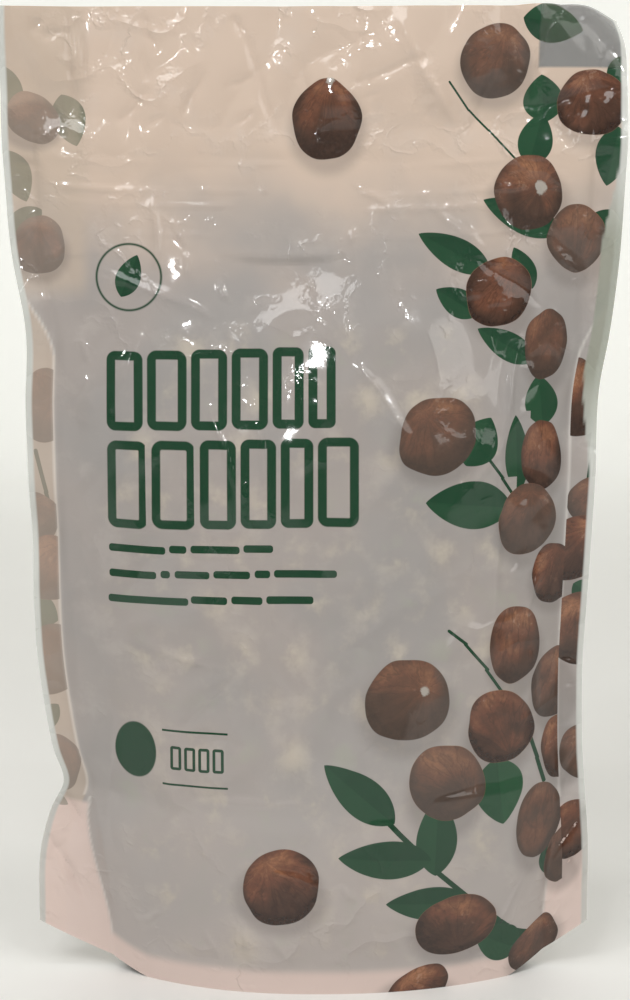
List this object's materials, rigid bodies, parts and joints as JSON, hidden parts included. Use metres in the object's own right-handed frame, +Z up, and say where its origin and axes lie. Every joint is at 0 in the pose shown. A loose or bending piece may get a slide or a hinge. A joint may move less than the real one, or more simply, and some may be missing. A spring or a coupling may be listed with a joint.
{
  "type": "stand-up pouch of hazelnuts",
  "caption": "Standing film pouch with a folded base gusset, sealed sides and top and a press-to-close zip, filled with loose hazelnut kernels.",
  "frame": {"origin": "on the surface that the pouch stands on, under the middle of its bounding box", "axes": "+Z up, -Y out of the printed front, +X to the right as the front is seen"},
  "size_m": [0.16, 0.051, 0.252],
  "materials": {
    "printed_film": "thin glossy translucent film, pale warm grey, printed with green leaves and brown nuts, creased",
    "base_film": "thin glossy film, pale pink, creased along its folds",
    "zip_plastic": "milky extruded plastic",
    "kernel_skin": "thin dry brown nut skin with fine ribs from base to tip"
  },
  "bodies": {
    "root": {"front_panel": "printed_film", "back_panel": "printed_film", "base_gusset": "base_film", "zip_rib_strip": "zip_plastic", "zip_groove_strip": "zip_plastic", "kernels_back_row_01": "kernel_skin", "kernels_back_row_02": "kernel_skin", "kernels_back_row_03": "kernel_skin", "kernels_back_row_04": "kernel_skin", "kernels_back_row_05": "kernel_skin", "kernels_back_row_06": "kernel_skin", "kernels_back_row_07": "kernel_skin", "kernels_back_row_08": "kernel_skin", "kernels_back_row_09": "kernel_skin", "kernels_back_row_10": "kernel_skin", "kernels_back_row_11": "kernel_skin", "kernels_back_row_12": "kernel_skin", "kernels_front_row_01": "kernel_skin", "kernels_front_row_02": "kernel_skin", "kernels_front_row_03": "kernel_skin", "kernels_front_row_04": "kernel_skin", "kernels_front_row_05": "kernel_skin", "kernels_front_row_06": "kernel_skin", "kernels_front_row_07": "kernel_skin", "kernels_front_row_08": "kernel_skin", "kernels_front_row_09": "kernel_skin", "kernels_front_row_10": "kernel_skin", "kernels_front_row_11": "kernel_skin", "kernels_front_row_12": "kernel_skin", "kernels_front_row_13": "kernel_skin", "kernels_middle_row_01": "kernel_skin", "kernels_middle_row_02": "kernel_skin", "kernels_middle_row_03": "kernel_skin", "kernels_middle_row_04": "kernel_skin", "kernels_middle_row_05": "kernel_skin", "kernels_middle_row_06": "kernel_skin"}
  },
  "joints": []
}
